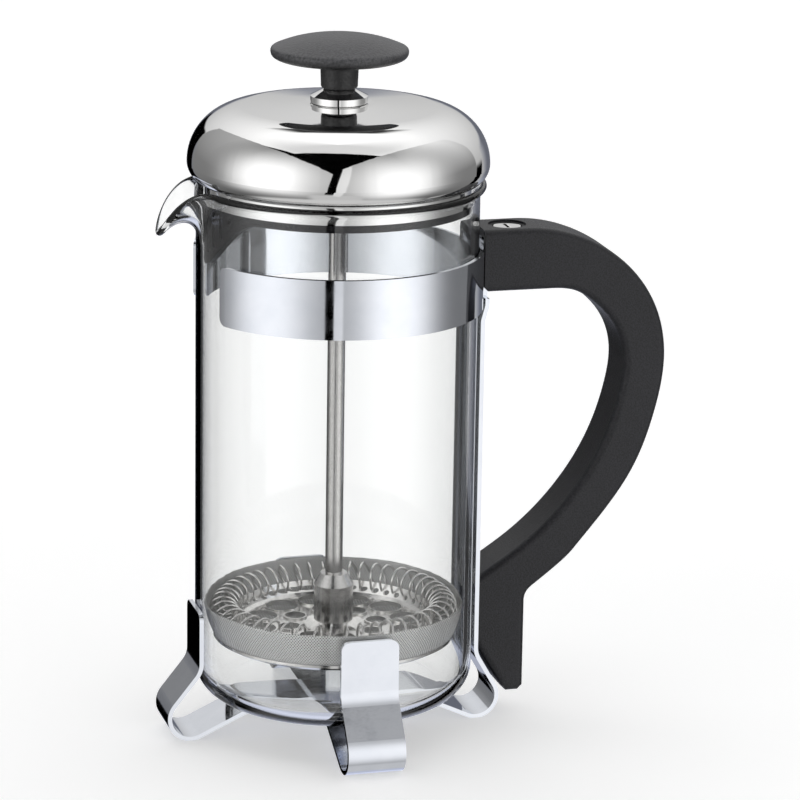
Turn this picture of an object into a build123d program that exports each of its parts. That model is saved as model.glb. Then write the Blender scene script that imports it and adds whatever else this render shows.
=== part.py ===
from build123d import *
import os
from math import asin, cos, hypot, pi, radians, sin, tan

# French press for about 350 ml. Millimetres, +Z up.
# The origin is on the axis of the glass, at the level of the surface that the feet stand on.
# +X points to the handle, -X to the spout.

# ---------------------------------------------------------------- driving dimensions

# glass
glass_r = 36.0
glass_wall = 1.8
glass_floor = 3.0
glass_base_z = 8.6
glass_rim_z = 144.6
glass_corner_r = 8.5
rim_flare = 1.3
rim_start_z = 140.6
spout_reach = 45.4
spout_half_angle = 20.0
spout_drop = 10.6
spout_start_z = 129.0
spout_hump = 5.4
spout_seam_z = 120.0

# strips of the frame
strip_w = 15.0
strip_t = 1.1
strip_corner_r = 2.2
glass_gap = 0.2
seat_gap = 0.1
base_rivet_r = 2.0
rivet_head_r = 3.6
band_low_z = 112.1
band_h = 15.0
band_gap_half_angle = 23.8
tab_top_z = 128.8
tab_w = 11.0
tab_shoulder_z = 113.4
foot_end_z = 33.8
foot_reach = 45.6
foot_slope = 51.4
handle_foot_reach = 43.2
handle_foot_slope = 60.0
toe_r = 5.6
toe_flat = 0.12
return_slope = 25.0
knee_r = 6.0

# handle
handle_w = 15.0
handle_edge_r = 1.7
handle_top_z = 131.1
handle_under_z = 114.95
handle_foot_z = 6.6
handle_back_x = 49.95
handle_end_x = 37.0
handle_slot_clearance = 0.2
nut_hole_x = 44.9
nut_hole_r = 4.9
nut_hole_depth = 0.5
barrel_nut_r = 3.9
upper_screw_z = 122.6
lower_screw_z = 29.0
screw_r = 2.0
screw_head_r = 3.7
screw_length = 11.0
barrel_nut_depth = 6.0
driver_slot_w = 1.1
driver_slot_length = 4.4
handle_bump = 1.4
handle_chamfer = 1.3
grip_back = [
    (48.5, handle_top_z), (62.3, 128.6), (74.6, 121.4), (83.5, 109.7), (86.6, 96.7),
    (84.1, 79.5), (77.1, 62.5), (64.3, 45.8), (52.7, 35.6),
]
grip_front = [
    (47.9, 45.9), (59.6, 56.75), (69.4, 71.5), (74.5, 86.5), (75.45, 95.0),
    (72.0, 105.4), (65.4, 112.0), (55.5, handle_under_z),
]
grip_root_z = 38.7
grip_corner_z = 31.2

# lid
lid_r = 38.3
lid_wide_z = 149.4
lid_shoulder_r = 14.0
lid_hem_r = 5.0
lid_sheet = 0.8
lid_gap = 0.3
lid_top_z = 164.3
lid_flat_r = 9.0
skirt_r = 33.75
skirt_low_z = 140.3
insert_low_z = 138.4
insert_wall = 1.1
insert_web_z = 146.9
flap_drop = 13.7
flap_half_width = 24.0
slot_w = 1.3
slot_step = 6.0

# bushing
bushing_r = 7.3
bushing_h = 1.8
bushing_cone_r = 3.9
bushing_top_z = 167.95
bushing_neck_r = 3.92
bushing_neck_low_z = 158.6
bushing_nut_h = 2.8
bushing_nut_r = 6.5

# plunger
rod_r = 2.25
rod_clearance = 0.05
rod_low_z = 19.6
rod_top_z = 176.4
knob_r = 17.4
knob_wide_z = 177.5
knob_top_z = 181.7
knob_crease_r = 15.9
knob_crease_z = 178.9
knob_neck_r = 4.82
knob_low_z = 168.05
knob_under_r = 15.2
knob_under_z = 175.4
knob_root_r = 5.6
knob_root_z = 173.8
knob_neck_z = 173.0
hub_r = 5.1
hub_low_z = 27.6
hub_shoulder_z = 37.7
hub_top_z = 40.7
hub_top_r = 3.5
hub_neck_r = 2.9

# filter stack
plate_t = 0.7
stack_z = 22.8
bottom_plate_r = 31.2
mesh_t = 0.35
mesh_top_r = 33.85
mesh_top_z = 34.4
mesh_edge_r = 31.4
mesh_edge_z = 26.2
coil_ring_r = 28.9
coil_ring_z = 30.5
coil_r = 3.6
coil_skin = 0.35
coil_slot_angle = 223.0
coil_slot_half = 32.0
outer_holes = 12
outer_hole_ring_r = 19.6
outer_hole_r = 4.2
inner_holes = 8
inner_hole_ring_r = 11.6
inner_hole_r = 2.7
hole_lip = 0.45
wire_holes = 48
wire_hole_r = 0.65
drain_holes = 8
drain_hole_ring_r = 14.0
drain_hole_r = 3.6
end_nut_r = 4.6
end_nut_h = 2.4

fine = 1e-3


# ---------------------------------------------------------------- helpers

def ring_of(outline):
    """Turn a closed outline, drawn as (radius, height), round the Z axis."""
    return revolve(Plane.XZ * make_face(outline), axis=Axis.Z)


def turned(*points):
    """Turn a closed polygon of (radius, height) points round the Z axis."""
    return ring_of(Polyline(*points, close=True))


def cylinder_between(radius, low_z, high_z, x=0.0, y=0.0):
    """An upright cylinder from one height to another."""
    place = Location((x, y, low_z))
    return place * Cylinder(radius, high_z - low_z, align=(Align.CENTER, Align.CENTER, Align.MIN))


def around(count, ring_r, start=0.0):
    """Points spaced evenly on a circle, as (x, y, angle in degrees)."""
    for index in range(count):
        angle = start + 360.0 * index / count
        yield ring_r * cos(radians(angle)), ring_r * sin(radians(angle)), angle


def bent_strip(path):
    """A flat strip of the frame's stock, bent along a path in the XZ plane."""
    face = Plane.XZ * trace(path, line_width=strip_t)
    return extrude(face, amount=strip_w / 2, both=True)


def round_free_end(strip, end_z):
    """Round the two corners of a strip's upright free end."""
    ends = [e for e in strip.edges() if e.length < strip_t + fine and abs(e.center().Z - end_z) < fine]
    return fillet(ends, strip_corner_r)


# ---------------------------------------------------------------- frame

def foot_corners(reach, slope, wall_x, flat_z):
    """Corner points of a foot: knee on the glass, toe beyond the floor bend, bend under the glass."""
    toe_x = reach - strip_t / 2 - toe_r
    toe_z = toe_r + strip_t / 2 - toe_flat
    half = radians((slope - return_slope) / 2)
    middle = radians((slope + return_slope) / 2)
    away = toe_r / sin(half)
    corner = (toe_x + away * cos(middle), toe_z - away * sin(middle))
    knee = (wall_x, corner[1] + (corner[0] - wall_x) * tan(radians(slope)))
    inner = (corner[0] - (flat_z - corner[1]) / tan(radians(return_slope)), flat_z)
    return [knee, corner, inner]


def mirrored(points):
    """The same points on the other side of the axis, in reverse order."""
    return [(-x, z) for x, z in reversed(points)]


def make_handle_strip():
    """Long strip: tab, run down the glass, handle foot, pass under the glass, spout foot, free end."""
    wall_x = glass_r + glass_gap + strip_t / 2
    tab_x = wall_x + strip_t
    flat_z = glass_base_z - seat_gap - 1.5 * strip_t
    joggle_top_z = band_low_z - 0.5
    joggle_low_z = joggle_top_z - 4.0
    handle_foot = foot_corners(handle_foot_reach, handle_foot_slope, wall_x, flat_z)
    spout_foot = foot_corners(foot_reach, foot_slope, wall_x, flat_z)
    points = [(tab_x, tab_top_z), (tab_x, joggle_top_z), (wall_x, joggle_low_z)]
    points += handle_foot + mirrored(spout_foot) + [(-wall_x, foot_end_z)]
    radii = [3.0, 3.0, knee_r, toe_r, knee_r, knee_r, toe_r, knee_r]
    strip = above_floor(bent_strip(FilletPolyline(*points, radius=radii)))
    strip = round_free_end(strip, foot_end_z)
    strip = round_free_end(narrow_tab(strip, tab_x), tab_top_z)
    strip -= base_rivet_hole()
    return strip - make_handle_screw(upper_screw_z) - make_handle_screw(lower_screw_z)


def narrow_tab(strip, tab_x):
    """Cut the sides of the strip back to the tab's width above its shoulders."""
    side_w = (strip_w - tab_w) / 2
    height = 2 * (tab_top_z - tab_shoulder_z)
    for side in (-1, 1):
        middle = (tab_x, side * (tab_w + side_w) / 2, tab_shoulder_z + height / 2)
        strip -= Location(middle) * Box(4 * strip_t, side_w, height)
    return strip


def make_cross_strip():
    """Strip across the first one, with the front and the back foot."""
    wall_x = glass_r + glass_gap + strip_t / 2
    flat_z = glass_base_z - seat_gap - 0.5 * strip_t
    foot = foot_corners(foot_reach, foot_slope, wall_x, flat_z)
    points = [(wall_x, foot_end_z)] + foot + mirrored(foot) + [(-wall_x, foot_end_z)]
    radii = [knee_r, toe_r, knee_r, knee_r, toe_r, knee_r]
    strip = above_floor(bent_strip(FilletPolyline(*points, radius=radii)))
    strip = round_free_end(strip, foot_end_z)
    return Rot(0, 0, 90) * (strip - base_rivet_hole())


def above_floor(strip):
    """Cut the small flats that the toes stand on."""
    return strip - Location((0, 0, -5)) * Box(200, 200, 10)


def make_base_rivet():
    """Rivet with a domed head below the strips, flush on the glass side."""
    top_z = glass_base_z - seat_gap
    low_z = top_z - 2 * strip_t
    outline = [
        Polyline((0, top_z), (base_rivet_r, top_z), (base_rivet_r, low_z), (rivet_head_r, low_z)),
        Spline((rivet_head_r, low_z), (0, low_z - 1.3), tangents=[(-0.3, -1), (-1, 0)]),
        Line((0, low_z - 1.3), (0, top_z)),
    ]
    return ring_of(outline)


def base_rivet_hole():
    return cylinder_between(base_rivet_r, 0, glass_base_z)


def make_collar_band():
    """C-shaped band round the glass, open towards the spout, with rounded end corners."""
    inner = glass_r + glass_gap
    outer = inner + strip_t
    band = cylinder_between(outer, band_low_z, band_low_z + band_h)
    band -= cylinder_between(inner, 0, tab_top_z)
    reach = 60.0
    gap_y = reach * tan(radians(band_gap_half_angle))
    gap = extrude(make_face(Polyline((0, 0), (-reach, gap_y), (-reach, -gap_y), close=True)), tab_top_z)
    band -= gap
    corners = [e for e in band.edges() if e.center().X < 0 and e.length < strip_t * 1.2]
    band = fillet(corners, strip_corner_r)
    return band - make_handle_screw(upper_screw_z)


def make_handle_screw(z):
    """Flat-head screw along +X, its head flush with the glass side of the metal behind the glass."""
    face_x = glass_r + glass_gap
    head_h = screw_head_r - screw_r
    place = Location((face_x, 0, z), (0, 90, 0))
    low_end = (Align.CENTER, Align.CENTER, Align.MIN)
    head = Cone(screw_head_r, screw_r, head_h, align=low_end)
    shank = Cylinder(screw_r, screw_length, align=low_end)
    return place * (head + shank)


def make_barrel_nut():
    """Round nut standing in the handle's top hole, with a chamfered top and a slot for a driver."""
    top_z = handle_top_z - nut_hole_depth
    nut = cylinder_between(barrel_nut_r, upper_screw_z - barrel_nut_depth, top_z, nut_hole_x)
    nut = chamfer(nut.edges().group_by(Axis.Z)[-1], 0.4)
    slot = Location((nut_hole_x, 0, top_z)) * Box(driver_slot_w, driver_slot_length, driver_slot_w)
    return nut - slot - make_handle_screw(upper_screw_z)


def handle_outline():
    """Side outline of the handle, as (x, z)."""
    wall = glass_r + glass_gap + strip_t
    end_low = (handle_end_x, handle_under_z + handle_bump)
    top = Polyline(end_low, (handle_end_x, handle_top_z), grip_back[0])
    back = Spline(*grip_back, tangents=[(1, 0), (-0.8, -0.6)])
    corner_end = (handle_back_x, grip_corner_z)
    corner = Spline(grip_back[-1], corner_end, tangents=[(-0.8, -0.6), (0, -1)])
    diagonal_end_x, diagonal_start_z = handle_diagonal()
    lower = Polyline(
        corner_end, (handle_back_x, handle_foot_z + handle_chamfer),
        (handle_back_x - handle_chamfer, handle_foot_z), (diagonal_end_x + handle_chamfer, handle_foot_z),
        (diagonal_end_x, handle_foot_z + handle_chamfer), (wall, diagonal_start_z), (wall, grip_root_z),
    )
    front = Spline((wall, grip_root_z), *grip_front, tangents=[(0.82, 0.57), (-1, 0)])
    upper = Polyline(grip_front[-1], (handle_end_x + handle_bump, handle_under_z), end_low)
    return [top, back, corner, lower, front, upper]


def handle_diagonal():
    """The cut that clears the handle-side foot: the x of its lower end, the z where it leaves the strip."""
    above_knee = 1.6
    clearance = 0.2
    wall_x = glass_r + glass_gap + strip_t / 2
    wall = wall_x + strip_t / 2
    knee = foot_corners(handle_foot_reach, handle_foot_slope, wall_x, 0)[0]
    start_z = knee[1] + above_knee
    low_z = handle_foot_z + handle_chamfer
    return wall + (start_z - low_z) / tan(radians(handle_foot_slope)) + clearance, start_z


def tab_slot():
    """Slot in the handle's upper end that takes the strip's tab."""
    tab_face_x = glass_r + glass_gap + 2 * strip_t
    low_z = tab_shoulder_z - 5.0
    height = tab_top_z + handle_slot_clearance - low_z
    width = tab_w + 2 * handle_slot_clearance
    return Location((tab_face_x, 0, low_z + height / 2)) * Box(
        2 * (tab_face_x - handle_end_x) + 1.0, width, height, align=(Align.MAX, Align.CENTER, Align.CENTER)
    )


def make_handle():
    """Moulded handle: side outline at full width, rounded long edges, slot and holes for its fasteners."""
    face = Plane.XZ * make_face(handle_outline())
    body = extrude(face, amount=handle_w / 2, both=True)
    sides = [f for f in body.faces() if abs(abs(f.center().Y) - handle_w / 2) < fine]
    edges = [e for f in sides for e in f.edges() if e.center().X > 40.0]
    body = fillet(edges, handle_edge_r)
    body -= tab_slot()
    body -= cylinder_between(nut_hole_r, handle_top_z - nut_hole_depth, handle_top_z + 1, nut_hole_x)
    body -= cylinder_between(barrel_nut_r, upper_screw_z - barrel_nut_depth, handle_top_z, nut_hole_x)
    return body - make_handle_screw(upper_screw_z) - make_handle_screw(lower_screw_z)


# ---------------------------------------------------------------- beaker

def spout_share(angle):
    """How much of the spout's shape is felt at an angle: 1 in its middle, 0 at its sides."""
    if abs(angle) >= spout_half_angle:
        return 0.0
    return cos(pi / 2 * angle / spout_half_angle) ** 2


def lip_curve(angle):
    """Control points of the outer face at an angle: straight up the wall, then out to the lip."""
    share = spout_share(angle)
    start_z = rim_start_z - (rim_start_z - spout_start_z) * share
    end_r = glass_r + rim_flare + (spout_reach - glass_r - rim_flare) * share
    end_z = glass_rim_z - 1.5 - spout_drop * share ** 2.3
    rise = 1.6 + spout_hump * share
    turn_r = glass_r + 0.9 + 4.4 * share
    turn_z = start_z + rise + 0.4 + 0.6 * share
    return [(glass_r, start_z), (glass_r, start_z + rise), (turn_r, turn_z), (end_r, end_z)]


def bezier_point(controls, t):
    """Point and unit normal, turned inwards and up, of a cubic Bezier curve."""
    weights = [(1 - t) ** 3, 3 * t * (1 - t) ** 2, 3 * t * t * (1 - t), t ** 3]
    r = sum(w * c[0] for w, c in zip(weights, controls))
    z = sum(w * c[1] for w, c in zip(weights, controls))
    slopes = [(1 - t) ** 2, 2 * t * (1 - t), t * t]
    dr = sum(w * (b[0] - a[0]) for w, a, b in zip(slopes, controls, controls[1:]))
    dz = sum(w * (b[1] - a[1]) for w, a, b in zip(slopes, controls, controls[1:]))
    size = hypot(dr, dz)
    return (r, z), (-dz / size, dr / size)


def rim_section(angle):
    """Closed (r, z) outline of the wall from the seam up to the rolled lip."""
    controls = lip_curve(angle)
    steps = [0.0, 0.2, 0.4, 0.6, 0.8, 1.0]
    outer = []
    inner = []
    for t in steps:
        point, normal = bezier_point(controls, t)
        outer.append(point)
        inner.append((point[0] + normal[0] * glass_wall, point[1] + normal[1] * glass_wall))
    tip, normal = bezier_point(controls, 1.0)
    forward = (normal[1], -normal[0])
    crown = (
        tip[0] + normal[0] * glass_wall / 2 + forward[0] * glass_wall * 0.6,
        tip[1] + normal[1] * glass_wall / 2 + forward[1] * glass_wall * 0.6,
    )
    foot_out = (glass_r, spout_seam_z)
    foot_in = (glass_r - glass_wall, spout_seam_z)
    return [
        Line(foot_in, foot_out),
        Line(foot_out, outer[0]),
        Spline(*outer),
        ThreePointArc(outer[-1], crown, inner[-1]),
        Spline(*reversed(inner)),
        Line(inner[0], foot_in),
    ]


def make_spout():
    """Sector of the wall that is drawn out and down into the spout."""
    count = 17
    sections = []
    for index in range(count):
        angle = spout_half_angle * (2.0 * index / (count - 1) - 1.0)
        face = make_face(rim_section(angle))
        sections.append(Rot(0, 0, 180 + angle) * (Plane.XZ * face))
    return loft(sections, ruled=True)


def make_beaker():
    """Glass beaker: floor and wall turned all round, rim turned up to the spout, spout lofted."""
    inner_corner_r = glass_corner_r - glass_wall - 0.6
    inner_r = glass_r - glass_wall
    floor_z = glass_base_z + glass_floor
    outer_mid = glass_corner_r * (1 - cos(pi / 4))
    inner_mid = inner_corner_r * (1 - cos(pi / 4))
    wall = [
        Line((0, glass_base_z), (glass_r - glass_corner_r, glass_base_z)),
        ThreePointArc(
            (glass_r - glass_corner_r, glass_base_z),
            (glass_r - outer_mid, glass_base_z + outer_mid),
            (glass_r, glass_base_z + glass_corner_r),
        ),
        Line((glass_r, glass_base_z + glass_corner_r), (glass_r, spout_seam_z)),
        Line((glass_r, spout_seam_z), (inner_r, spout_seam_z)),
        Line((inner_r, spout_seam_z), (inner_r, floor_z + inner_corner_r)),
        ThreePointArc(
            (inner_r, floor_z + inner_corner_r),
            (inner_r - inner_mid, floor_z + inner_mid),
            (inner_r - inner_corner_r, floor_z),
        ),
        Line((inner_r - inner_corner_r, floor_z), (0, floor_z)),
        Line((0, floor_z), (0, glass_base_z)),
    ]
    cup = ring_of(wall)
    rim_face = Rot(0, 0, 180 + spout_half_angle) * (Plane.XZ * make_face(rim_section(spout_half_angle)))
    rim = revolve(rim_face, axis=Axis.Z, revolution_arc=360 - 2 * spout_half_angle)
    return cup + rim + make_spout()


# ---------------------------------------------------------------- lid

def dome_outline(inset):
    """Points and arcs of the dome from its hem to the flat round the bushing, moved inwards by inset."""
    shoulder = (lid_r - lid_shoulder_r, lid_wide_z)
    hem = (lid_r - lid_hem_r, lid_wide_z)
    big = lid_shoulder_r - inset
    small = lid_hem_r - inset
    crown_angle = radians(86.0)
    hem_end = -asin((lid_wide_z - lid_edge_z() - inset) / small)
    start = (hem[0] + small * cos(hem_end), hem[1] + small * sin(hem_end))
    half_hem = (hem[0] + small * cos(hem_end / 2), hem[1] + small * sin(hem_end / 2))
    side = (lid_r - inset, lid_wide_z)
    half_big = (shoulder[0] + big * cos(crown_angle / 2), shoulder[1] + big * sin(crown_angle / 2))
    crown = (shoulder[0] + big * cos(crown_angle), shoulder[1] + big * sin(crown_angle))
    flat = (lid_flat_r, lid_top_z - inset)
    return start, half_hem, side, half_big, crown, flat


def lid_edge_z():
    """Height of the dome's underside, just above the glass rim."""
    return glass_rim_z + lid_gap


def make_lid_dome():
    """Pressed steel dome with a fat rolled edge that turns in over the rim of the glass."""
    o_start, o_hem, o_side, o_big, o_crown, o_flat = dome_outline(0.0)
    i_start, i_hem, i_side, i_big, i_crown, i_flat = dome_outline(lid_sheet)
    hole_r = bushing_neck_r + 0.06
    lip_r = skirt_r
    edge_z = lid_edge_z()
    outline = [
        Line((lip_r, edge_z), o_start),
        ThreePointArc(o_start, o_hem, o_side),
        ThreePointArc(o_side, o_big, o_crown),
        Line(o_crown, o_flat),
        Line(o_flat, (hole_r, lid_top_z)),
        Line((hole_r, lid_top_z), (hole_r, lid_top_z - lid_sheet)),
        Line((hole_r, lid_top_z - lid_sheet), i_flat),
        Line(i_flat, i_crown),
        ThreePointArc(i_crown, i_big, i_side),
        ThreePointArc(i_side, i_hem, i_start),
        Line(i_start, (lip_r, i_start[1])),
        Line((lip_r, i_start[1]), (lip_r, edge_z)),
    ]
    return ring_of(outline)


def make_skirt_ring():
    """Polished ring that drops into the glass, with a flange resting on the dome's turned-in edge."""
    inner = skirt_r - lid_sheet
    ledge_z = dome_outline(lid_sheet)[0][1]
    flange_r = lid_r - lid_hem_r + 1.5
    return turned(
        (inner, skirt_low_z), (skirt_r, skirt_low_z), (skirt_r, ledge_z), (flange_r, ledge_z),
        (flange_r, ledge_z + lid_sheet), (inner, ledge_z + lid_sheet),
    )


def flap_edge(y):
    """Height of the insert's lower edge on the spout side, as a smooth bell across the flap."""
    along = skirt_r * asin(max(-1.0, min(1.0, y / skirt_r)))
    if abs(along) >= flap_half_width:
        return insert_low_z
    return insert_low_z - flap_drop * 0.5 * (1 + cos(pi * along / flap_half_width))


def make_strainer_insert():
    """Moulded insert: web and ring inside the skirt ring, a lip below it, and the slotted strainer flap."""
    ring_r = skirt_r - lid_sheet
    inner = skirt_r - insert_wall
    web_hole_r = bushing_nut_r + 1.5
    body = turned(
        (web_hole_r, insert_web_z - 1.2), (inner - 1.0, insert_web_z - 1.2), (inner - 1.0, skirt_low_z),
        (inner, insert_low_z), (skirt_r, insert_low_z), (skirt_r, skirt_low_z), (ring_r, skirt_low_z),
        (ring_r, insert_web_z), (web_hole_r, insert_web_z),
    )
    edge_y = skirt_r * sin(flap_half_width / skirt_r)
    count = 16
    bell = []
    for index in range(count + 1):
        y = edge_y * (2.0 * index / count - 1.0)
        bell.append((y, flap_edge(y)))
    sheet = Plane.YZ * make_face([
        Spline(*bell, tangents=[(1, 0), (1, 0)]),
        Polyline(bell[-1], (edge_y, skirt_low_z), (-edge_y, skirt_low_z), bell[0]),
    ])
    flap = cylinder_between(skirt_r, insert_low_z - flap_drop - 1, skirt_low_z)
    flap -= cylinder_between(inner, 0, lid_top_z)
    flap &= extrude(sheet, -60)
    return body + flap - strainer_slots()


def strainer_slots():
    """Upright slots through the flap, longest in the middle, with a round hole beyond each side."""
    cutters = []
    top_z = skirt_low_z - 1.0
    for index in range(-3, 4):
        angle = index * slot_step
        low_z = flap_edge(skirt_r * sin(radians(angle))) + 2.6
        slot = Location((-skirt_r, 0, (low_z + top_z) / 2)) * Box(6, slot_w, top_z - low_z)
        cutters.append(Rot(0, 0, angle) * slot)
    for side in (-1, 1):
        hole = Location((-skirt_r, 0, insert_low_z - 0.4), (0, 90, 0)) * Cylinder(0.7, 6)
        cutters.append(Rot(0, 0, side * 4 * slot_step) * hole)
    return cutters


def make_lid_bushing():
    """Flange with a conical top, a neck through the dome and a bore that guides the rod."""
    bore = rod_r + rod_clearance
    low_z = lid_top_z + 0.08
    return turned(
        (bore, bushing_neck_low_z), (bushing_neck_r, bushing_neck_low_z), (bushing_neck_r, low_z),
        (bushing_r - 0.25, low_z), (bushing_r, low_z + 0.25), (bushing_r, low_z + bushing_h),
        (bushing_cone_r, bushing_top_z), (bore, bushing_top_z),
    )


def make_bushing_nut():
    """Hexagon nut under the dome."""
    top_z = lid_top_z - lid_sheet - 0.1
    nut = extrude(RegularPolygon(bushing_nut_r, 6), bushing_nut_h)
    nut = Location((0, 0, top_z - bushing_nut_h)) * nut
    return nut - cylinder_between(bushing_neck_r, 0, lid_top_z)


# ---------------------------------------------------------------- plunger

def make_knob():
    """Moulded knob: domed disc with a rounded rim, shallow underside and a tapered neck."""
    top_edge = (knob_crease_r, knob_crease_z)
    wide = (knob_r, knob_wide_z)
    under = (knob_under_r, knob_under_z)
    root = (knob_root_r, knob_root_z)
    neck_top = (knob_neck_r, knob_neck_z)
    neck_low = (knob_neck_r - 0.15, knob_low_z + 0.9)
    foot = (knob_neck_r - 0.9, knob_low_z)
    bore_z = rod_top_z + 0.1
    socket_r = insert_r()
    outline = [
        Spline((0, knob_top_z), (9.0, knob_top_z - 0.75), top_edge, tangents=[(1, 0), (1, -0.42)]),
        Spline(top_edge, (knob_r - 0.25, knob_wide_z + 0.75), wide, tangents=[(1, -0.42), (0, -1)]),
        Spline(wide, under, tangents=[(0, -1), (-1, -0.28)]),
        Line(under, root),
        Spline(root, neck_top, tangents=[(-1, -0.16), (0, -1)]),
        Line(neck_top, neck_low),
        Spline(neck_low, foot, tangents=[(0, -1), (-1, -0.2)]),
        Line(foot, (socket_r, knob_low_z)),
        Line((socket_r, knob_low_z), (socket_r, bore_z)),
        Line((socket_r, bore_z), (0, bore_z)),
        Line((0, bore_z), (0, knob_top_z)),
    ]
    return ring_of(outline)


def insert_r():
    return rod_r + 0.8


def make_knob_insert():
    """Threaded brass sleeve moulded into the knob."""
    return turned(
        (rod_r, knob_low_z + 0.3), (insert_r(), knob_low_z + 0.3),
        (insert_r(), rod_top_z), (rod_r, rod_top_z),
    )


def make_plunger_rod():
    """Rod from the nut under the filter up into the knob."""
    rod = cylinder_between(rod_r, rod_low_z, rod_top_z)
    return chamfer(rod.edges().group_by(Axis.Z)[0], 0.5)


def make_hub_nut():
    """Round nut above the filter, with a conical top and a slim neck down to the plate."""
    plate_top_z = stack_z + 2 * plate_t + mesh_t
    return turned(
        (rod_r, plate_top_z), (hub_neck_r, plate_top_z), (hub_neck_r, hub_low_z), (hub_r - 0.6, hub_low_z),
        (hub_r, hub_low_z + 0.6), (hub_r, hub_shoulder_z), (hub_top_r, hub_top_z), (rod_r, hub_top_z),
    )


def dish(low_z, thickness, points):
    """A thin turned sheet whose upper face follows points from the rod outwards."""
    upper = [(r, low_z + z + thickness) for r, z in points]
    lower = [(r, low_z + z) for r, z in points]
    return turned(*(lower + upper[::-1]))


def make_bottom_plate():
    """Pressed plate under the mesh, dished up to a narrow rim."""
    rise = mesh_edge_z - stack_z - plate_t - 0.5
    plate = dish(stack_z, plate_t, [(rod_r, 0), (24.0, 0), (29.6, rise * 0.55), (bottom_plate_r, rise)])
    for x, y, _ in around(drain_holes, drain_hole_ring_r):
        plate -= cylinder_between(drain_hole_r, 0, glass_rim_z, x, y)
    return plate


def make_mesh_filter():
    """Woven mesh: flat over the bottom plate, then turned up round the coil."""
    low_z = stack_z + plate_t
    rise = mesh_edge_z - low_z - 0.5
    outer = [(mesh_edge_r, mesh_edge_z), (33.0, 30.0), (mesh_top_r, mesh_top_z)]
    inner = [
        (mesh_top_r - mesh_t, mesh_top_z), (33.0 - mesh_t, 30.0), (mesh_edge_r - mesh_t, mesh_edge_z + 0.1),
    ]
    floor_top = [(bottom_plate_r - 0.3, low_z + rise + mesh_t), (29.6, low_z + rise * 0.55 + mesh_t),
                 (24.0, low_z + mesh_t), (rod_r, low_z + mesh_t)]
    floor_low = [(rod_r, low_z), (24.0, low_z), (29.6, low_z + rise * 0.55), (bottom_plate_r, low_z + rise)]
    return turned(*(floor_low + outer + inner + floor_top))


def make_spring_plate():
    """Dished plate: rings of lipped holes, and a raised rim with a small hole for each turn of the coil."""
    low_z = stack_z + plate_t + mesh_t
    deck = 1.9
    rim_h = 5.6
    section = [(rod_r, 0), (6.0, 0), (9.0, deck), (24.3, deck), (25.2, deck + 0.8), (26.6, rim_h)]
    plate = dish(low_z, plate_t, section)
    deck_z = low_z + deck
    rings = [(outer_holes, outer_hole_ring_r, outer_hole_r), (inner_holes, inner_hole_ring_r, inner_hole_r)]
    for count, ring_r, hole_r in rings:
        for x, y, _ in around(count, ring_r):
            plate += cylinder_between(hole_r + hole_lip, deck_z, deck_z + plate_t + hole_lip, x, y)
        for x, y, _ in around(count, ring_r):
            plate -= cylinder_between(hole_r, 0, glass_rim_z, x, y)
    hole_z = deck_z + 2.4
    for x, y, angle in around(wire_holes, coil_ring_r - coil_r + 0.6, 180.0 / wire_holes):
        hole = Location((x, y, hole_z), (0, 90, angle)) * Cylinder(wire_hole_r, 4)
        plate -= hole
    return plate


def make_coil_spring():
    """Outer form of the coil round the edge: a thin tube, open where the plate's rim enters it."""
    centre = (coil_ring_r, coil_ring_z)
    start = coil_slot_angle + coil_slot_half
    sweep_deg = 360 - 2 * coil_slot_half

    def on_tube(radius, share):
        angle = radians(start + sweep_deg * share)
        return centre[0] + radius * cos(angle), centre[1] + radius * sin(angle)

    outer_r = coil_r
    inner_r = coil_r - coil_skin
    outline = [
        ThreePointArc(on_tube(outer_r, 0), on_tube(outer_r, 0.5), on_tube(outer_r, 1)),
        Line(on_tube(outer_r, 1), on_tube(inner_r, 1)),
        ThreePointArc(on_tube(inner_r, 1), on_tube(inner_r, 0.5), on_tube(inner_r, 0)),
        Line(on_tube(inner_r, 0), on_tube(outer_r, 0)),
    ]
    return ring_of(outline)


def make_end_nut():
    """Hexagon nut under the filter."""
    nut = extrude(RegularPolygon(end_nut_r, 6), end_nut_h)
    nut = Location((0, 0, stack_z - end_nut_h)) * nut
    return nut - cylinder_between(rod_r, 0, stack_z + 1)


# ---------------------------------------------------------------- files

parts = {
    "collar_band": make_collar_band(),
    "handle_strip": make_handle_strip(),
    "cross_strip": make_cross_strip(),
    "base_rivet": make_base_rivet(),
    "handle": make_handle(),
    "handle_barrel_nut": make_barrel_nut(),
    "handle_upper_screw": make_handle_screw(upper_screw_z),
    "handle_lower_screw": make_handle_screw(lower_screw_z),
    "beaker": make_beaker(),
    "lid_dome": make_lid_dome(),
    "lid_skirt_ring": make_skirt_ring(),
    "strainer_insert": make_strainer_insert(),
    "lid_bushing": make_lid_bushing(),
    "bushing_nut": make_bushing_nut(),
    "knob": make_knob(),
    "knob_insert": make_knob_insert(),
    "plunger_rod": make_plunger_rod(),
    "hub_nut": make_hub_nut(),
    "spring_plate": make_spring_plate(),
    "coil_spring": make_coil_spring(),
    "mesh_filter": make_mesh_filter(),
    "bottom_plate": make_bottom_plate(),
    "end_nut": make_end_nut(),
}

os.makedirs("parts", exist_ok=True)
for name, shape in parts.items():
    shape.label = name
    export_step(shape, f"parts/{name}.step")
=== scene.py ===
from math import cos, degrees, hypot, pi, radians, sin

import bmesh
import bpy
from mathutils import Matrix, Vector


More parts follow.
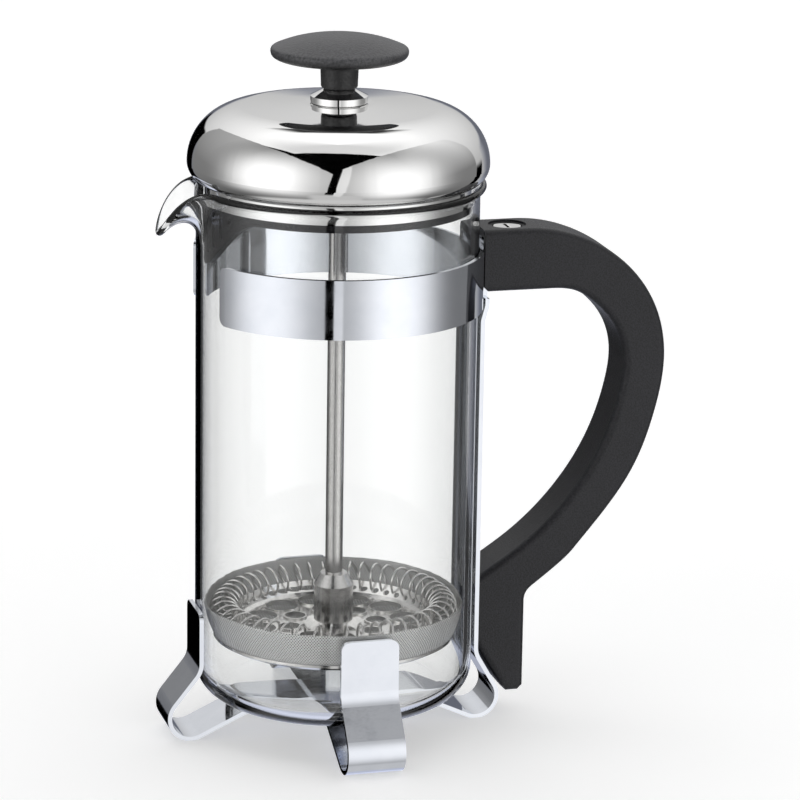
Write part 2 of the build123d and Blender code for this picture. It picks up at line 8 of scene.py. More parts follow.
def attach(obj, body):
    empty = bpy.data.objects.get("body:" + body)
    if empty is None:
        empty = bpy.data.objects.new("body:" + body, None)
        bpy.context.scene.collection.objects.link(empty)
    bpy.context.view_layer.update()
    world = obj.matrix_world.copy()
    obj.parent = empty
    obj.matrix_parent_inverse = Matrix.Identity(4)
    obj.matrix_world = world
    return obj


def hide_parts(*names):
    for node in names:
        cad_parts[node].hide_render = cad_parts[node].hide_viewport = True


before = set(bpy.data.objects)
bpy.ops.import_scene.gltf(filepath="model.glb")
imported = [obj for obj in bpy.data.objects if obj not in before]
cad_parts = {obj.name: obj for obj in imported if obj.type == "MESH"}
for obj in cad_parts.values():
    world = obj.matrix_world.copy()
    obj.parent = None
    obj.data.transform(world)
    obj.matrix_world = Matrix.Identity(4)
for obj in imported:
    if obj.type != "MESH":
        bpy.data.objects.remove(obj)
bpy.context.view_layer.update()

# French press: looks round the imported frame. Lengths are millimetres unless a name ends in _m.
# The Z axis is the axis of the glass, +X is the handle side, -X the spout side.

mm = 0.001

# ---------------------------------------------------------------- dimensions of the replaced pieces

glass_r = 36.0
glass_wall = 1.8
glass_base_z = 8.6
glass_floor_z = 11.6
glass_corner_r = 8.5
glass_inner_corner_r = 6.1
spout_half_angle = 20.0

coil_ring_r = 28.6
coil_ring_z = 31.2
coil_turn_r = 3.7
coil_wire_r = 0.32
coil_turns = 48
coil_tilt = 0.8
coil_tilt_turn = 0.2

mesh_low_z = 23.5
mesh_thick = 0.32
weave_pitch_m = 0.00072

# ---------------------------------------------------------------- shader helpers


class Field:
    """A number in a node tree that can be added, multiplied and compared like a plain number."""

    def __init__(self, tree, socket):
        self.tree = tree
        self.socket = socket

    def math(self, operation, *others):
        node = self.tree.nodes.new("ShaderNodeMath")
        node.operation = operation
        for slot, value in zip(node.inputs, (self,) + others):
            feed(self.tree, slot, value)
        return Field(self.tree, node.outputs[0])

    def __add__(self, other):
        return self.math("ADD", other)

    def __sub__(self, other):
        return self.math("SUBTRACT", other)

    def __rsub__(self, other):
        return (self * -1.0) + other

    def __mul__(self, other):
        return self.math("MULTIPLY", other)

    def __truediv__(self, other):
        return self.math("DIVIDE", other)

    def step(self, low, high, start=0.0, end=1.0):
        """A smooth change from start to end as this number goes from low to high."""
        node = self.tree.nodes.new("ShaderNodeMapRange")
        node.interpolation_type = "SMOOTHSTEP"
        for slot, value in zip(node.inputs, (self, low, high, start, end)):
            feed(self.tree, slot, value)
        return Field(self.tree, node.outputs[0])

    def ramp(self, low, high, start=0.0, end=1.0):
        """A straight change from start to end as this number goes from low to high."""
        node = self.tree.nodes.new("ShaderNodeMapRange")
        for slot, value in zip(node.inputs, (self, low, high, start, end)):
            feed(self.tree, slot, value)
        return Field(self.tree, node.outputs[0])

    def bump(self, middle, half_width, power=2.0):
        """1 at the middle, falling to almost nothing a half width or more away."""
        away = ((self - middle) / half_width).math("ABSOLUTE").math("POWER", power)
        return (away * -1.0).math("EXPONENT")


def feed(tree, slot, value):
    if isinstance(value, Field):
        tree.links.new(value.socket, slot)
    elif isinstance(value, bpy.types.NodeSocket):
        tree.links.new(value, slot)
    else:
        slot.default_value = value


def split(tree, vector):
    node = tree.nodes.new("ShaderNodeSeparateXYZ")
    tree.links.new(vector, node.inputs[0])
    return [Field(tree, out) for out in node.outputs]


def joined(tree, x, y, z):
    node = tree.nodes.new("ShaderNodeCombineXYZ")
    for slot, value in zip(node.inputs, (x, y, z)):
        feed(tree, slot, value)
    return node.outputs[0]


def blend_colour(tree, share, first, second):
    node = tree.nodes.new("ShaderNodeMix")
    node.data_type = "RGBA"
    feed(tree, node.inputs[0], share)
    for slot, value in ((node.inputs[6], first), (node.inputs[7], second)):
        if isinstance(value, tuple):
            slot.default_value = value + (1.0,)
        else:
            feed(tree, slot, value)
    return node.outputs[2]


def noise(tree, vector, scale, detail, roughness):
    node = tree.nodes.new("ShaderNodeTexNoise")
    tree.links.new(vector, node.inputs["Vector"])
    node.inputs["Scale"].default_value = scale
    node.inputs["Detail"].default_value = detail
    node.inputs["Roughness"].default_value = roughness
    return Field(tree, node.outputs["Fac"])


class Material:
    """A Principled material with object coordinates and a chain of bumps."""

    def __init__(self, name, colour, rough, metallic, **fixed):
        self.data = bpy.data.materials.new(name)
        self.data.use_nodes = True
        self.tree = self.data.node_tree
        self.shader = self.tree.nodes["Principled BSDF"]
        self.shader.inputs["Base Color"].default_value = colour + (1.0,)
        self.shader.inputs["Roughness"].default_value = rough
        self.shader.inputs["Metallic"].default_value = metallic
        for label, value in fixed.items():
            self.shader.inputs[label.replace("_", " ")].default_value = value
        self.place = self.tree.nodes.new("ShaderNodeTexCoord").outputs["Object"]
        self.normal = None

    def set(self, label, value):
        feed(self.tree, self.shader.inputs[label], value)

    def xyz(self):
        return split(self.tree, self.place)

    def round_axis(self, painted_dark_edge=1.0, round_it=1.0, outwards=1.0):
        """Coordinates that follow a turned part: height, arc and radius, each stretched as asked."""
        x, y, z = self.xyz()
        radius = (x * x + y * y).math("SQRT")
        angle = y.math("ARCTAN2", x)
        return joined(self.tree, angle * round_it, z * painted_dark_edge, radius * outwards)

    def stretched(self, x_scale, y_scale, z_scale):
        x, y, z = self.xyz()
        return joined(self.tree, x * x_scale, y * y_scale, z * z_scale)

    def noise(self, scale, detail, vector=None, roughness=0.5):
        return noise(self.tree, vector or self.place, scale, detail, roughness)

    def bump(self, height, distance_m, strength=1.0):
        node = self.tree.nodes.new("ShaderNodeBump")
        node.inputs["Strength"].default_value = strength
        node.inputs["Distance"].default_value = distance_m
        feed(self.tree, node.inputs["Height"], height)
        if self.normal is not None:
            self.tree.links.new(self.normal, node.inputs["Normal"])
        self.normal = node.outputs[0]
        self.tree.links.new(self.normal, self.shader.inputs["Normal"])


# ---------------------------------------------------------------- materials


def polished_steel():
    """Mirror-polished lid steel: faint round polishing marks and a slight wave of the pressed sheet."""
    m = Material("polished_steel", (0.90, 0.895, 0.885), 0.035, 1.0)
    marks = m.noise(1.0, 3.0, m.round_axis(painted_dark_edge=3000.0, round_it=9.0, outwards=3000.0))
    cloud = m.noise(45.0, 3.0)
    m.set("Roughness", marks.ramp(0.3, 0.7, 0.022, 0.05) + cloud.ramp(0.45, 0.75, 0.0, 0.025))
    m.set("Base Color", blend_colour(m.tree, cloud, (0.90, 0.895, 0.885), (0.86, 0.86, 0.86)))
    m.bump(m.noise(110.0, 1.0), 0.00002, 0.6)
    m.bump(marks, 0.0000012)
    return m.data


def chrome_strip():
    """Chrome plate on rolled strip: cool, bright, with the fine rolling grain still showing through."""
    m = Material("chrome_strip", (0.84, 0.86, 0.90), 0.04, 1.0)
    grain = m.noise(1.0, 3.0, m.stretched(900.0, 900.0, 6000.0))
    cloud = m.noise(160.0, 4.0)
    m.set("Roughness", grain.ramp(0.3, 0.7, 0.03, 0.08) + cloud.ramp(0.5, 0.8, 0.0, 0.05))
    m.set("Base Color", blend_colour(m.tree, cloud, (0.83, 0.85, 0.90), (0.72, 0.75, 0.81)))
    m.bump(m.noise(260.0, 1.0), 0.000006, 0.5)
    m.bump(grain, 0.0000008)
    return m.data


def turned_steel(name, colour, rough, line_scale):
    """Steel turned on a lathe or drawn: fine lines round the part."""
    m = Material(name, colour, rough, 1.0)
    lines = m.noise(1.0, 4.0, m.round_axis(painted_dark_edge=line_scale, round_it=0.4, outwards=line_scale))
    cloud = m.noise(220.0, 3.0)
    m.set("Roughness", lines.ramp(0.3, 0.7, rough * 0.75, rough * 1.3))
    darker = tuple(c * 0.80 for c in colour)
    m.set("Base Color", blend_colour(m.tree, cloud * 0.6 + lines * 0.4, darker, colour))
    m.bump(lines, 0.0000015, 0.6)
    return m.data


def rod_steel():
    """Drawn rod: very fine lines along it, broken by faint turns."""
    m = Material("rod_steel", (0.55, 0.54, 0.53), 0.15, 1.0)
    lines = m.noise(1.0, 3.0, m.stretched(9000.0, 9000.0, 260.0))
    cloud = m.noise(300.0, 3.0)
    m.set("Roughness", lines.ramp(0.3, 0.7, 0.10, 0.20))
    share = cloud * 0.5 + lines * 0.5
    m.set("Base Color", blend_colour(m.tree, share, (0.42, 0.41, 0.40), (0.66, 0.65, 0.64)))
    m.bump(lines, 0.000004, 0.6)
    return m.data


def pressed_steel():
    """Bright pressed sheet of the filter plates, with small stains and scuffs."""
    m = Material("pressed_steel", (0.80, 0.79, 0.77), 0.12, 1.0)
    cloud = m.noise(420.0, 5.0, roughness=0.65)
    fine = m.noise(2600.0, 2.0)
    m.set("Roughness", cloud.ramp(0.35, 0.75, 0.06, 0.26))
    m.set("Base Color", blend_colour(m.tree, cloud, (0.84, 0.83, 0.81), (0.60, 0.59, 0.58)))
    m.bump(cloud, 0.00004, 0.5)
    m.bump(fine, 0.000004, 0.6)
    return m.data


def spring_wire():
    m = Material("spring_wire", (0.82, 0.81, 0.79), 0.14, 1.0)
    cloud = m.noise(900.0, 3.0)
    m.set("Roughness", cloud.ramp(0.3, 0.7, 0.08, 0.22))
    m.set("Base Color", blend_colour(m.tree, cloud, (0.88, 0.87, 0.85), (0.66, 0.65, 0.64)))
    return m.data


def woven_wire():
    """Fine stainless weave: crossing wires as colour, gloss and height, with painted shade, near black, in
    the holes between.
    It runs straight across the floor of the cup and slantwise round its wall."""
    m = Material("woven_wire", (0.75, 0.75, 0.74), 0.35, 0.35)
    x, y, z = m.xyz()
    angle = y.math("ARCTAN2", x)
    radius = (x * x + y * y).math("SQRT")
    wall = radius.step(0.0300, 0.0312)
    turns = 2.0 * pi / weave_pitch_m
    wall_r_m = 0.0325
    slant = 0.8
    first_wall = ((angle * wall_r_m + z * slant) * turns).math("SINE")
    second_wall = ((angle * wall_r_m - z * slant) * turns).math("SINE")
    first = (x * turns).math("SINE") * (1.0 - wall) + first_wall * wall
    second = (y * turns).math("SINE") * (1.0 - wall) + second_wall * wall
    over = first.math("MAXIMUM", second)
    cloud = m.noise(500.0, 3.0)
    wire_tone = blend_colour(m.tree, cloud, (1.0, 1.0, 0.99), (0.90, 0.90, 0.89))
    # Painted shade: the holes between the wires are coloured near black; the wires keep their own pale
    # tone.
    m.set("Base Color", blend_colour(m.tree, over.step(-0.42, 0.12), (0.02, 0.02, 0.02), wire_tone))
    m.set("Roughness", over.ramp(-1.0, 1.0, 0.5, 0.30))
    m.bump(over, 0.00006, 0.8)
    m.bump(m.noise(90.0, 2.0), 0.0004, 0.5)
    return m.data


def black_plastic(name, rough, grain_m, strength, ior=1.42, pale=(0.026, 0.026, 0.031), pale_from_m=-1.0):
    """Moulded black plastic with a fine spark-eroded grain, its palest share only above a height; on the
    knob that pale share is a painted sheen on its top.
    """
    m = Material(name, (0.020, 0.020, 0.023), rough, 0.0, IOR=ior)
    grain = m.noise(1.0 / grain_m, 2.0, roughness=0.6)
    cloud = m.noise(60.0, 3.0)
    deep = (0.004, 0.004, 0.005)
    share = (grain.step(0.3, 0.7) * 0.7 + cloud * 0.3) * m.xyz()[2].step(pale_from_m, pale_from_m + 0.003)
    m.set("Base Color", blend_colour(m.tree, share, deep, pale))
    m.set("Roughness", grain.ramp(0.3, 0.7, rough - 0.10, rough + 0.12))
    m.bump(grain, grain_m * 0.30, strength)
    return m.data


def clear_glass():
    """Borosilicate glass with a faint drawn wave, and painted shade: its colour turns dark where it is
    looked at along its skin.
    """
    m = Material("clear_glass", (0.985, 0.995, 0.99), 0.0, 0.0, Transmission_Weight=1.0, IOR=1.474,
                 Specular_IOR_Level=0.2)
    edge = m.tree.nodes.new("ShaderNodeLayerWeight")
    edge.inputs["Blend"].default_value = 0.5
    x, y, height = m.xyz()
    outside = (x * x + y * y).math("SQRT").step(0.0351, 0.0355)
    wall_only = height.step(0.016, 0.026) * height.step(0.136, 0.140, 1.0, 0.0)
    # Painted shade: the outer wall is coloured near black towards its outline, where it is seen edge-on.
    painted_dark_edge = Field(m.tree, edge.outputs["Facing"]).step(0.71, 0.82) * outside * wall_only
    m.set("Base Color", blend_colour(m.tree, painted_dark_edge, (0.99, 0.995, 0.993), (0.03, 0.035, 0.04)))
    m.bump(m.noise(38.0, 1.0), 0.00006, 0.35)
    return m.data


def brass():
    m = Material("turned_brass", (0.80, 0.62, 0.30), 0.25, 1.0)
    lines = m.noise(1.0, 3.0, m.round_axis(painted_dark_edge=5000.0, round_it=4.0))
    m.set("Roughness", lines.ramp(0.3, 0.7, 0.2, 0.32))
    m.bump(lines, 0.000005)
    return m.data


# ---------------------------------------------------------------- meshes


def mesh_piece(name, points, faces, material, body, sharp):
    """A new piece from points in millimetres, smooth except across sharp edges, riding on a body."""
    data = bpy.data.meshes.new(name)
    data.from_pydata([(x * mm, y * mm, z * mm) for x, y, z in points], [], faces)
    shell = bmesh.new()
    shell.from_mesh(data)
    bmesh.ops.recalc_face_normals(shell, faces=shell.faces)
    shell.to_mesh(data)
    shell.free()
    data.shade_smooth()
    data.set_sharp_from_angle(angle=radians(sharp))
    data.materials.append(material)
    piece = bpy.data.objects.new(name, data)
    bpy.context.scene.collection.objects.link(piece)
    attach(piece, body)
    return piece


def grid_faces(rows, columns, close_rows=False, close_columns=False):
    """Quads over a grid of points stored row by row."""
    faces = []
    for i in range(rows if close_rows else rows - 1):
        for j in range(columns if close_columns else columns - 1):
            a = i * columns + j
            b = i * columns + (j + 1) % columns
            c = ((i + 1) % rows) * columns + (j + 1) % columns
            d = ((i + 1) % rows) * columns + j
            faces.append((a, b, c, d))
    return faces


def bezier(controls, t):
    """Point and inward normal of a cubic Bezier curve in (radius, height)."""
    weights = [(1 - t) ** 3, 3 * t * (1 - t) ** 2, 3 * t * t * (1 - t), t ** 3]
    r = sum(w * c[0] for w, c in zip(weights, controls))
    z = sum(w * c[1] for w, c in zip(weights, controls))
    slopes = [(1 - t) ** 2, 2 * t * (1 - t), t * t]
    dr = sum(w * (b[0] - a[0]) for w, a, b in zip(slopes, controls, controls[1:]))
    dz = sum(w * (b[1] - a[1]) for w, a, b in zip(slopes, controls, controls[1:]))
    size = hypot(dr, dz)
    return (r, z), (-dz / size, dr / size)


def lip_controls(angle):
    """Outer face of the rim, at an angle from the middle of the spout: straight up, then out to the lip."""
    share = 0.0
    if abs(angle) < spout_half_angle:
        share = cos(pi / 2 * angle / spout_half_angle) ** 2
    start_z = 140.6 - 11.6 * share
    end_r = 37.3 + 8.1 * share
    end_z = 143.1 - 10.6 * share ** 2.3
    rise = 1.6 + 5.4 * share
    turn_r = 36.9 + 4.4 * share
    turn_z = start_z + rise + 0.4 + 0.6 * share
    return [(glass_r, start_z), (glass_r, start_z + rise), (turn_r, turn_z), (end_r, end_z)]


def glass_profile(angle):
    """Outline of the glass, from its underside out, up, over the lip and down inside to its floor."""
    inner_r = glass_r - glass_wall
    outline = [(glass_r - glass_corner_r, glass_base_z)]
    corner_steps = 10
    for i in range(1, corner_steps + 1):
        a = pi / 2 * i / corner_steps
        outline.append((glass_r - glass_corner_r + glass_corner_r * sin(a),
                        glass_base_z + glass_corner_r * (1 - cos(a))))
    wall_steps = 22
    controls = lip_controls(angle)
    wall_low = outline[-1][1]
    for i in range(1, wall_steps):
        outline.append((glass_r, wall_low + (controls[0][1] - wall_low) * i / wall_steps))
    lip_steps = 16
    inside = []
    for i in range(lip_steps + 1):
        (r, z), (nr, nz) = bezier(controls, i / lip_steps)
        outline.append((r, z))
        inside.append((r + nr * glass_wall, z + nz * glass_wall))
    (tip_r, tip_z), (nr, nz) = bezier(controls, 1.0)
    half = glass_wall / 2
    bulge = 1.15
    round_steps = 8
    for i in range(1, round_steps):
        a = pi * i / round_steps
        outline.append((tip_r + nr * half * (1 - cos(a)) + nz * half * bulge * sin(a),
                        tip_z + nz * half * (1 - cos(a)) - nr * half * bulge * sin(a)))
    outline += inside[::-1]
    wall_top = inside[0][1]
    wall_foot = glass_floor_z + glass_inner_corner_r
    for i in range(1, wall_steps):
        outline.append((inner_r, wall_top + (wall_foot - wall_top) * i / wall_steps))
    for i in range(corner_steps + 1):
        a = pi / 2 * (1 - i / corner_steps)
        outline.append((inner_r - glass_inner_corner_r + glass_inner_corner_r * sin(a),
                        glass_floor_z + glass_inner_corner_r * (1 - cos(a))))
    return outline


def make_glass(material):
    """The beaker as one closed skin, with a finer mesh round the spout."""
    angles = []
    fine_count = 80
    spread = spout_half_angle + 4.0
    for i in range(fine_count):
        angles.append(-spread + 2 * spread * i / fine_count)
    coarse_count = 168
    for i in range(coarse_count):
        angles.append(spread + (360.0 - 2 * spread) * i / coarse_count)
    points = []
    rows = len(angles)
    columns = 0
    for angle in angles:
        turned = angle if angle <= 180.0 else angle - 360.0
        outline = glass_profile(turned)
        columns = len(outline)
        direction = radians(180.0 + angle)
        points += [(r * cos(direction), r * sin(direction), z) for r, z in outline]
    faces = grid_faces(rows, columns, close_rows=True)
    under = len(points)
    push_up = 0.7
    points.append((0.0, 0.0, glass_base_z + push_up))
    points.append((0.0, 0.0, glass_floor_z))
    for i in range(rows):
        a = i * columns
        b = ((i + 1) % rows) * columns
        faces.append((b, a, under))
        faces.append((a + columns - 1, b + columns - 1, under + 1))
    piece = mesh_piece("glass_beaker", points, faces, material, "beaker", sharp=60.0)
    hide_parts("beaker")


def make_coil(material):
    """The spring as real wire: a long coil bent into a ring and joined, its turns a little uneven."""
    steps = coil_turns * 22
    sides = 8
    centres = []
    for i in range(steps):
        t = 2 * pi * i / steps
        wander = 0.10 * sin(5 * t + 0.7) + 0.07 * sin(11 * t + 2.1) + 0.05 * sin(23 * t)
        turn = coil_turns * (t + wander * 0.10) + pi
        lean = 0.030 * sin(turn + 0.6)
        ring = t + lean
        r = coil_ring_r + coil_turn_r * cos(turn)
        z = coil_ring_z + coil_turn_r * sin(turn) + 0.10 * sin(3 * t) - coil_tilt * sin(t - coil_tilt_turn)
        centres.append(Vector((r * cos(ring), r * sin(ring), z)))
    points = []
    for i in range(steps):
        forward = (centres[(i + 1) % steps] - centres[i - 1]).normalized()
        t = 2 * pi * i / steps
        middle_z = coil_ring_z - coil_tilt * sin(t - coil_tilt_turn)
        middle = Vector((coil_ring_r * cos(t), coil_ring_r * sin(t), middle_z))
        across = (centres[i] - middle)
        across = (across - forward * across.dot(forward)).normalized()
        other = forward.cross(across)
        for k in range(sides):
            a = 2 * pi * k / sides
            p = centres[i] + (across * cos(a) + other * sin(a)) * coil_wire_r
            points.append(tuple(p))
    faces = grid_faces(steps, sides, close_rows=True, close_columns=True)
    piece = mesh_piece("coil_wire", points, faces, material, "plunger", sharp=80.0)
    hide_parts("coil_spring")


def make_mesh_filter(material):
    """The woven filter: a thin cup, its wall very slightly wrinkled where the coil pushes it out."""
    low_z = mesh_low_z
    path = [(2.3, low_z), (8.0, low_z), (14.0, low_z), (20.0, low_z), (24.0, low_z)]
    path += [(27.0, low_z + 0.65), (29.6, low_z + 1.21), (30.9, low_z + 1.9), (31.5, low_z + 2.9)]
    path += [(31.9, 27.3), (32.4, 28.6), (32.8, 29.9), (33.1, 31.2)]
    path += [(33.35, 32.4), (33.5, 33.4), (33.58, 34.2)]
    skin = []
    for i, (r, z) in enumerate(path):
        before = path[max(0, i - 1)]
        after = path[min(len(path) - 1, i + 1)]
        dr, dz = after[0] - before[0], after[1] - before[1]
        size = hypot(dr, dz)
        skin.append((-dz / size, dr / size))
    outline = list(path)
    outline.append((path[-1][0] - mesh_thick * 0.5, path[-1][1] + 0.14))
    outline += [(r + n[0] * mesh_thick, z + n[1] * mesh_thick) for (r, z), n in zip(path[::-1], skin[::-1])]
    rows = coil_turns * 6
    points = []
    for i in range(rows):
        a = 2 * pi * i / rows
        for r, z in outline:
            loose = max(0.0, min(1.0, (z - 26.0) / 6.0))
            wave = 0.10 * sin(coil_turns * a) + 0.06 * sin(17 * a + 1.0) + 0.05 * sin(31 * a)
            radius = r + (wave - 0.12) * loose
            points.append((radius * cos(a), radius * sin(a), z + 0.06 * sin(9 * a) * loose))
    faces = grid_faces(rows, len(outline), close_rows=True, close_columns=True)
    piece = mesh_piece("mesh_cup", points, faces, material, "plunger", sharp=70.0)
    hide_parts("mesh_filter")


# ---------------------------------------------------------------- studio

camera_azimuth = -14.69
camera_elevation = 15.13
camera_roll = 0.913
camera_distance_m = 1.0
camera_lens = 175.5
aim_m = Vector((0.0, 0.0, 0.09))
aim_right = -0.01647
aim_up = 0.00292

studio_strength = 1.12
surround_white = (0.96, 0.96, 0.96, 1.0)
panel_foot = -1.9

floor_size_m = 3.0
floor_drop_m = 0.0002
floor_glow = 0.34


def make_camera():
    """A long lens a metre away, aimed a little beside the axis of the glass."""
    a = radians(camera_azimuth)
    e = radians(camera_elevation)
    back = Vector((sin(a) * cos(e), -cos(a) * cos(e), sin(e)))
    right = (-back).cross(Vector((0, 0, 1))).normalized()
    up = right.cross(-back)
    forward = (-back - right * aim_right - up * aim_up).normalized()
    right = forward.cross(Vector((0, 0, 1))).normalized()
    up = right.cross(forward)
    roll = radians(camera_roll)
    rolled_right = right * cos(roll) + up * sin(roll)
    rolled_up = up * cos(roll) - right * sin(roll)
    data = bpy.data.cameras.new("camera")
    data.lens = camera_lens
    data.sensor_width = 36.0
    data.clip_start = 0.05
    data.clip_end = 20.0
    camera = bpy.data.objects.new("camera", data)
    bpy.context.scene.collection.objects.link(camera)
    turn = Matrix((rolled_right, rolled_up, -forward)).transposed()
    camera.matrix_world = Matrix.Translation(aim_m + back * camera_distance_m) @ turn.to_4x4()
    bpy.context.scene.camera = camera


def make_studio_light():
    """Soft studio light: two tall softboxes in front with a dark gap between them, a bright ceiling, and
    a dim wall behind. Angles are degrees: side is 0 at the front and 90 at the right, rise is 0 at the
    horizon. What is seen directly, also through the glass, is a plain bright surround."""
    world = bpy.data.worlds.new("studio")
    bpy.context.scene.world = world
    world.use_nodes = True
    tree = world.node_tree
    tree.nodes.clear()
    x, y, z = split(tree, tree.nodes.new("ShaderNodeTexCoord").outputs["Generated"])
    front = radians(camera_azimuth)
    across = x * cos(front) + y * sin(front)
    towards = (y * cos(front) - x * sin(front)) * -1.0
    side = across.math("ARCTAN2", towards) * degrees(1.0)
    flat = (across * across + towards * towards).math("SQRT")
    tangent = z / flat.math("MAXIMUM", 0.001)
    rise = tangent.math("ARCTANGENT") * degrees(1.0)

    def panel_top(height, middle):
        """How far above a level straight edge that crosses the view, highest at its middle."""
        return tangent - ((side - middle) * radians(1.0)).math("COSINE") * height

    # The ceiling's straight front and left edges leave a dark gap above the softboxes.
    left_end = side.step(-40.0, -50.0) * panel_top(1.67, -63.0).step(0.02, -0.02)
    ceiling = panel_top(2.6, -4.0).step(-0.02, 0.02) * (1.0 - left_end)
    wall = rise.ramp(-4.0, 58.0, 0.40, 1.02)
    over = side.math("ABSOLUTE").step(60.0, 150.0, 0.68, 1.08)
    sky = rise.step(46.0, 66.0, 0.0, 1.0)
    light = (wall * (1.0 - sky) + over * sky) * ceiling

    # Behind: dim near the horizon, with darker slots that outline the polished edges.
    away = side.math("ABSOLUTE")
    behind = away.step(138.0, 156.0) * rise.step(7.0, 3.0)
    light = light * (1.0 - behind) + behind * rise.ramp(-16.0, -34.0, 0.14, 0.75)
    horizon = away.ramp(148.0, 176.0, 14.0, 0.0)
    left_dark = side.step(-145.5, -147.0) * side.step(-172.0, -168.0) * (rise - horizon).step(1.0, -1.0)
    left_dark = left_dark * rise.step(-34.0, -24.0)
    light = light * (1.0 - left_dark)
    right_dark = side.step(127.0, 128.5) * side.step(139.5, 138.5) * rise.step(0.0, -6.0)
    light = light * (1.0 - right_dark)
    high_dark = away.step(158.0, 168.0) * rise.step(42.0, 45.0) * rise.step(57.0, 53.0)
    light = light * (1.0 - high_dark * 0.96)

    # The gap between the two softboxes leans a little.
    leaning = side - (rise + 13.0) * 0.13
    left = side.step(-147.0, -145.5) * leaning.step(-8.6, -9.2) * panel_top(1.48, -76.0).step(0.015, -0.015)
    left = left * panel_top(panel_foot, -75.0).step(-0.1, 0.1)
    hot = side.bump(-57.0, 33.0, 2.6) * rise.bump(7.0, 38.0, 2.6)
    left_light = side.step(-120.0, -25.0, 0.19, 0.46) * rise.bump(12.0, 75.0) + hot * 0.84
    left_light = left_light + side.ramp(-85.0, -120.0, 0.0, 0.24) * rise.ramp(0.0, 45.0)

    right = leaning.step(-2.4, -1.8) * side.step(128.5, 127.0) * panel_top(1.61, 68.0).step(0.015, -0.015)
    right = right * panel_top(panel_foot, 65.0).step(-0.1, 0.1)
    hot = side.bump(51.0, 31.0, 2.6) * rise.bump(-3.0, 46.0, 2.6)
    right_light = side.step(110.0, 15.0, 0.19, 0.46) * rise.bump(5.0, 75.0) + hot * 0.80
    right_light = right_light + side.ramp(60.0, 120.0, 0.0, 0.72) * rise.ramp(0.0, 48.0)
    right_light = right_light + leaning.step(6.0, 4.0) * 0.25

    light = light * (1.0 - left) + left_light * left
    light = light * (1.0 - right) + right_light * right
    # Low down in front, the pale table joins the softboxes.
    table_front = rise.step(-22.0, -30.0) * away.step(40.0, 20.0) * 0.5
    light = light.math("MAXIMUM", table_front)
    below = rise.step(-50.0, -62.0)
    light = light * (1.0 - below) + below * 0.55

    tint = blend_colour(tree, behind, (1.0, 1.0, 1.0), (0.90, 0.95, 1.14))
    studio = tree.nodes.new("ShaderNodeBackground")
    tree.links.new(tint, studio.inputs["Color"])
    feed(tree, studio.inputs["Strength"], light.math("MAXIMUM", 0.0) * studio_strength)
    plain = tree.nodes.new("ShaderNodeBackground")
    plain.inputs["Color"].default_value = surround_white
    mix = tree.nodes.new("ShaderNodeMixShader")
    feed(tree, mix.inputs[0], seen_directly(tree))
    tree.links.new(studio.outputs[0], mix.inputs[1])
    tree.links.new(plain.outputs[0], mix.inputs[2])
    out = tree.nodes.new("ShaderNodeOutputWorld")
    tree.links.new(mix.outputs[0], out.inputs["Surface"])


def mirrored(tree):
    """1 for what is seen in a reflection; 0 for what is seen straight, also through glass."""
    path = tree.nodes.new("ShaderNodeLightPath")
    return Field(tree, path.outputs["Glossy Depth"]).math("GREATER_THAN", 0.5)


def seen_directly(tree):
    """1 for what the camera sees, also through glass; 0 for what it sees in a reflection or as lighting."""
    path = tree.nodes.new("ShaderNodeLightPath")
    scattered = Field(tree, path.outputs["Diffuse Depth"]).math("GREATER_THAN", 0.5)
    return 1.0 - mirrored(tree).math("MAXIMUM", scattered)


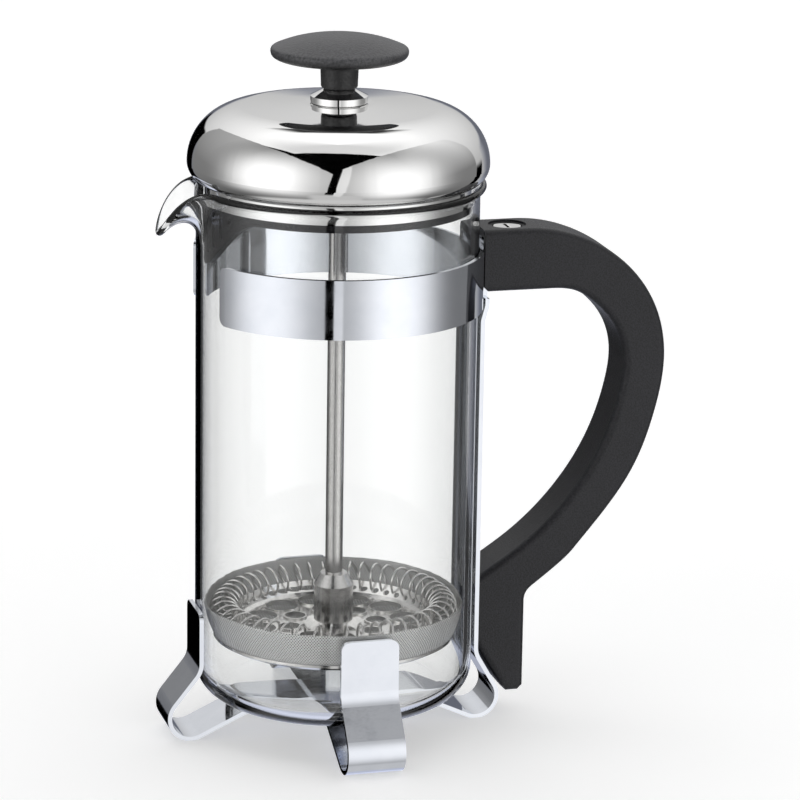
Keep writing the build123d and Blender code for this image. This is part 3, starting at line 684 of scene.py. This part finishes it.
def make_floor():
    """A large pale table. It glows a little, as a lit table does, and isn't mirrored in the chrome."""
    data = bpy.data.meshes.new("floor")
    count = 48
    points = [(0.0, 0.0, -floor_drop_m)]
    for i in range(count):
        a = 2 * pi * i / count
        points.append((floor_size_m * cos(a), floor_size_m * sin(a), -floor_drop_m))
    data.from_pydata(points, [], [(0, 1 + i, 1 + (i + 1) % count) for i in range(count)])
    m = Material("pale_table", (0.90, 0.90, 0.90), 0.7, 0.0)
    cloud = m.noise(14.0, 3.0)
    m.set("Base Color", blend_colour(m.tree, cloud, (0.89, 0.89, 0.89), (0.91, 0.91, 0.91)))
    m.shader.inputs["Specular IOR Level"].default_value = 0.1
    m.shader.inputs["Emission Color"].default_value = (1.0, 1.0, 1.0, 1.0)
    m.shader.inputs["Emission Strength"].default_value = floor_glow
    clear = m.tree.nodes.new("ShaderNodeBsdfTransparent")
    mix = m.tree.nodes.new("ShaderNodeMixShader")
    feed(m.tree, mix.inputs[0], mirrored(m.tree))
    m.tree.links.new(m.shader.outputs[0], mix.inputs[1])
    m.tree.links.new(clear.outputs[0], mix.inputs[2])
    m.tree.links.new(mix.outputs[0], m.tree.nodes["Material Output"].inputs["Surface"])
    data.materials.append(m.data)
    floor = bpy.data.objects.new("floor", data)
    bpy.context.scene.collection.objects.link(floor)
    floor.visible_glossy = False


# ---------------------------------------------------------------- assembly


def paint(material, *nodes):
    for name in nodes:
        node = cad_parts[name]
        node.data.materials.clear()
        node.data.materials.append(material)


make_camera()
make_studio_light()
make_floor()

paint(chrome_strip(), "collar_band", "handle_strip", "cross_strip", "base_rivet")
paint(polished_steel(), "lid_dome", "lid_skirt_ring", "lid_bushing", "handle_barrel_nut")
paint(turned_steel("machined_steel", (0.68, 0.67, 0.66), 0.18, 1500.0),
      "bushing_nut", "end_nut", "hub_nut", "handle_upper_screw", "handle_lower_screw")
paint(rod_steel(), "plunger_rod")
paint(pressed_steel(), "spring_plate", "bottom_plate")
paint(black_plastic("grained_plastic", 0.42, 0.00042, 0.9), "handle")
# Painted sheen: the knob above 175.5 mm is coloured a paler grey, standing in for the bright light on its
# top.
painted_top_sheen_grey = (0.100, 0.100, 0.108)
knob_black = black_plastic("knob_plastic", 0.40, 0.00062, 1.0, ior=1.6, pale=painted_top_sheen_grey, pale_from_m=0.1755)
paint(knob_black, "knob")
paint(black_plastic("insert_plastic", 0.45, 0.00060, 0.3, ior=1.22), "strainer_insert")
paint(brass(), "knob_insert")

make_glass(clear_glass())
make_coil(spring_wire())
make_mesh_filter(woven_wire())

scene = bpy.context.scene
scene.view_settings.view_transform = "Standard"
scene.view_settings.look = "None"
